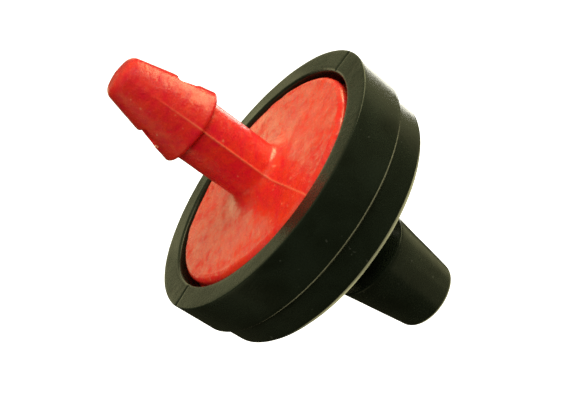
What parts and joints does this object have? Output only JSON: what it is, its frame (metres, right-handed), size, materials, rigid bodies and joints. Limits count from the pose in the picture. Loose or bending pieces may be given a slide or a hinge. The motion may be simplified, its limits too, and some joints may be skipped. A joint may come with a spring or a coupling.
{
  "type": "drip emitter",
  "caption": "Pressure-compensating button drip emitter: barbed red inlet base snapped into a black stepped outlet cover with a tapered outlet barb and a silicone diaphragm inside.",
  "frame": {"origin": "on the axis, in the plane of the cover's front rim, where the emitter seats against the pipe wall", "axes": "+Z along the axis through the barb, into the supply pipe; the inlet windows in the barb face +X and -X"},
  "size_m": [0.0186, 0.0186, 0.0254],
  "materials": {
    "black_plastic": "semi-gloss moulded polypropylene, greenish black",
    "red_plastic": "semi-gloss moulded polypropylene, orange red with faint flow streaks",
    "silicone": "matt, milky silicone rubber"
  },
  "bodies": {
    "housing": {"outlet_cover": "black_plastic", "inlet_base": "red_plastic"},
    "diaphragm": {"diaphragm": "silicone"}
  },
  "joints": [
    {"name": "diaphragm_press", "type": "slide", "parent": "housing", "child": "diaphragm", "axis": [0, 0, 1], "range_m": [-0.0003, 0], "stiffness_N_per_m": 200}
  ]
}
